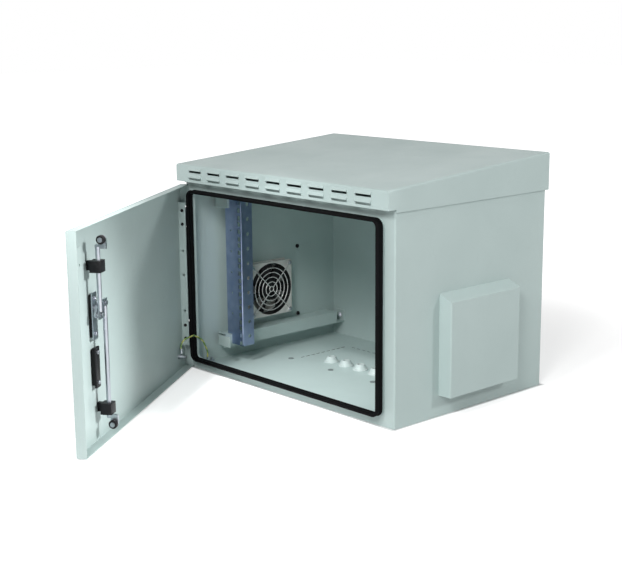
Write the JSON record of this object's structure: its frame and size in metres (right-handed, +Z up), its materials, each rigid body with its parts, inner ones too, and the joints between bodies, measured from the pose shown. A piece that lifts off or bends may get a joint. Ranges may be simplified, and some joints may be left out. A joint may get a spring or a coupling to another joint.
{
  "type": "outdoor equipment enclosure",
  "caption": "Grey sheet-metal wall cabinet with a sloped rain roof, louvred skirt, side hoods, a gasketed hinged door with a rod lock, rack rails and a wall fan.",
  "frame": {"origin": "middle of the floor's underside", "axes": "+Z up, +Y towards the rear wall, +X to the right seen from the door side"},
  "size_m": [0.658, 0.9196, 0.463],
  "materials": {
    "paint_grey": "pale grey-green textured powder coat",
    "zinc": "bluish zinc-plated steel",
    "black_plastic": "black glass-filled plastic",
    "rubber_black": "black soft rubber",
    "cast_aluminium": "bare cast aluminium",
    "filter_fibre": "off-white fibre mat",
    "grommet_grey": "light grey soft plastic",
    "earth_insulation": "green insulation with a yellow stripe",
    "chrome": "bright plated steel"
  },
  "bodies": {
    "cabinet": {"left_side_panel": "paint_grey", "right_side_panel": "paint_grey", "rear_panel": "paint_grey", "floor_panel": "paint_grey", "top_panel": "paint_grey", "front_frame": "paint_grey", "roof_canopy": "paint_grey", "left_hood": "paint_grey", "right_hood": "paint_grey", "left_lower_rail": "paint_grey", "left_upper_rail": "paint_grey", "right_lower_rail": "paint_grey", "right_upper_rail": "paint_grey", "roof_bolts": "zinc", "filter_screws": "zinc", "fan_screws": "zinc", "left_rack_rail": "zinc", "right_rack_rail": "zinc", "rail_screws": "zinc", "earth_terminal_body": "zinc", "hinge_body_lower": "zinc", "hinge_body_upper": "zinc", "wall_spacers": "zinc", "left_filter_holder": "black_plastic", "right_filter_holder": "black_plastic", "hood_screws": "black_plastic", "door_gasket": "rubber_black", "floor_plugs": "rubber_black", "fan_frame": "cast_aluminium", "left_filter_mat": "filter_fibre", "right_filter_mat": "filter_fibre", "cable_grommets": "grommet_grey", "earth_wire": "earth_insulation", "fan_guard": "chrome"},
    "door": {"door_panel": "paint_grey", "hinge_strip": "paint_grey", "hinge_door_lower": "zinc", "hinge_door_upper": "zinc", "strip_screws": "black_plastic", "handle_base": "black_plastic", "handle_clamp_upper": "zinc", "handle_clamp_lower": "black_plastic", "handle_screws": "zinc", "rod_guide_upper": "black_plastic", "rod_guide_lower": "black_plastic", "earth_terminal_door": "zinc"},
    "handle": {"spindle": "zinc", "lock_cam": "zinc", "cam_nut": "zinc", "lever_pin": "zinc"},
    "lever": {"handle_lever": "black_plastic", "lock_cylinder": "chrome"},
    "key_plug": {"lock_plug": "chrome"},
    "upper_rod": {"upper_rod": "zinc"},
    "upper_roller": {"upper_roller": "black_plastic"},
    "lower_rod": {"lower_rod": "zinc"},
    "lower_roller": {"lower_roller": "black_plastic"},
    "impeller": {"fan_impeller": "black_plastic"}
  },
  "joints": [
    {"name": "door_hinge", "type": "hinge", "parent": "cabinet", "child": "door", "pos_m": [-0.292, -0.2205, 0.2], "axis": [0, 0, -1], "range_deg": [-54.3, 65.7], "deforming": ["earth_wire"]},
    {"name": "handle_turn", "type": "hinge", "parent": "door", "child": "handle", "pos_m": [-0.0054, -0.63272, 0.241], "axis": [-0.8121, -0.5835, 0], "range_deg": [0, 90]},
    {"name": "lever_lift", "type": "hinge", "parent": "handle", "child": "lever", "pos_m": [-0.02123, -0.6441, 0.241], "axis": [0, 0, 1], "range_deg": [0, 35]},
    {"name": "key_turn", "type": "hinge", "parent": "lever", "child": "key_plug", "pos_m": [-0.09126, -0.54665, 0.241], "axis": [-0.8121, -0.5835, 0], "range_deg": [-90, 90]},
    {"name": "upper_rod_slide", "type": "slide", "parent": "door", "child": "upper_rod", "axis": [0, 0, 1], "range_m": [0, 0.01697]},
    {"name": "lower_rod_slide", "type": "slide", "parent": "door", "child": "lower_rod", "axis": [0, 0, -1], "range_m": [0, 0.01697]},
    {"name": "upper_roller_spin", "type": "hinge", "parent": "upper_rod", "child": "upper_roller", "pos_m": [0.0293, -0.62779, 0.362], "axis": [0.5835, -0.8121, 0], "continuous": true},
    {"name": "lower_roller_spin", "type": "hinge", "parent": "lower_rod", "child": "lower_roller", "pos_m": [0.01734, -0.61115, 0.0355], "axis": [0.5835, -0.8121, 0], "continuous": true},
    {"name": "fan_spin", "type": "hinge", "parent": "cabinet", "child": "impeller", "pos_m": [-0.285, -0.004, 0.139], "axis": [1, 0, 0], "continuous": true}
  ],
  "couplings": [
    {"joint": "upper_rod_slide", "follows": "handle_turn", "m_per_rad": 0.010804},
    {"joint": "lower_rod_slide", "follows": "handle_turn", "m_per_rad": 0.010804}
  ]
}
